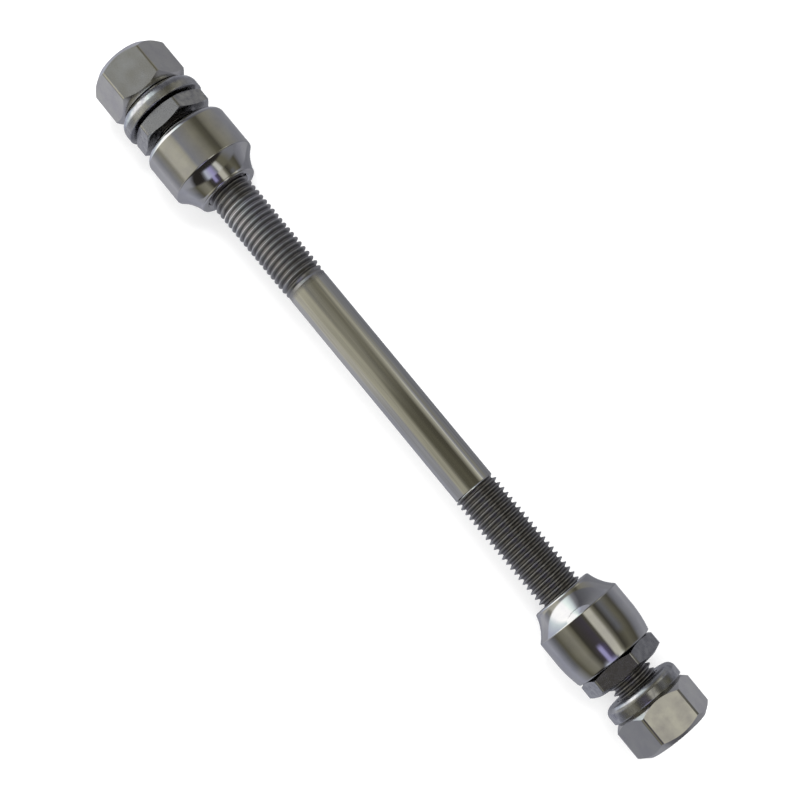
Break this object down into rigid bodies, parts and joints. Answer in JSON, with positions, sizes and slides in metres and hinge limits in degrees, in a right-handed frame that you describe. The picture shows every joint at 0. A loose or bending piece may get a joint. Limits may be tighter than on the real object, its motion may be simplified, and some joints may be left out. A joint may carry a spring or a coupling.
{
  "type": "front hub axle",
  "caption": "Threaded steel front wheel axle with bearing cones, locknuts, thick washers and hexagonal axle nuts on its two ends.",
  "frame": {"origin": "middle of the axle, on its centre line, which is the wheel's centre", "axes": "Y along the axle, with the picture's lower-right end at +Y; +Z is the side that the picture shows"},
  "size_m": [0.0158, 0.1472, 0.0158],
  "materials": {
    "axle_steel": "zinc-plated rolled thread and drawn plain shank",
    "cone_chrome": "polished chrome plate over hardened steel",
    "locknut_steel": "dull zinc plate",
    "washer_steel": "dull zinc plate",
    "nut_plating": "bright plate, flats slightly satin"
  },
  "bodies": {
    "axle": {"axle": "axle_steel"},
    "left_cone": {"left_cone": "cone_chrome"},
    "left_locknut": {"left_locknut": "locknut_steel"},
    "left_washer": {"left_washer": "washer_steel"},
    "left_axle_nut": {"left_axle_nut": "nut_plating"},
    "right_cone": {"right_cone": "cone_chrome"},
    "right_locknut": {"right_locknut": "locknut_steel"},
    "right_washer": {"right_washer": "washer_steel"},
    "right_axle_nut": {"right_axle_nut": "nut_plating"}
  },
  "joints": [
    {"name": "left_cone_travel", "type": "slide", "parent": "axle", "child": "left_cone", "axis": [0, -1, 0], "range_m": [-0.018, 0]},
    {"name": "left_locknut_turn", "type": "hinge", "parent": "left_cone", "child": "left_locknut", "pos_m": [0, -0.05995, 0], "axis": [0, -1, 0], "range_deg": [-6123, 0.1]},
    {"name": "right_cone_travel", "type": "slide", "parent": "axle", "child": "right_cone", "axis": [0, 1, 0], "range_m": [-0.021, 0]},
    {"name": "right_locknut_turn", "type": "hinge", "parent": "right_cone", "child": "right_locknut", "pos_m": [0, 0.0594, 0], "axis": [0, 1, 0], "range_deg": [-7143.5, 0.1]},
    {"name": "left_washer_travel", "type": "slide", "parent": "axle", "child": "left_washer", "axis": [0, -1, 0], "range_m": [0, 0.014]},
    {"name": "left_axle_nut_turn", "type": "hinge", "parent": "left_washer", "child": "left_axle_nut", "pos_m": [0, -0.0693, 0], "axis": [0, -1, 0], "range_deg": [-0.1, 4762.4]},
    {"name": "right_washer_travel", "type": "slide", "parent": "axle", "child": "right_washer", "axis": [0, 1, 0], "range_m": [-0.002, 0.014]},
    {"name": "right_axle_nut_turn", "type": "hinge", "parent": "right_washer", "child": "right_axle_nut", "pos_m": [0, 0.0699, 0], "axis": [0, 1, 0], "range_deg": [-680.5, 4762.4]}
  ],
  "couplings": [
    {"joint": "left_locknut_turn", "follows": "left_cone_travel", "rad_per_m": 5936.9},
    {"joint": "right_locknut_turn", "follows": "right_cone_travel", "rad_per_m": 5936.9},
    {"joint": "left_axle_nut_turn", "follows": "left_washer_travel", "rad_per_m": 5936.9},
    {"joint": "right_axle_nut_turn", "follows": "right_washer_travel", "rad_per_m": 5936.9}
  ]
}
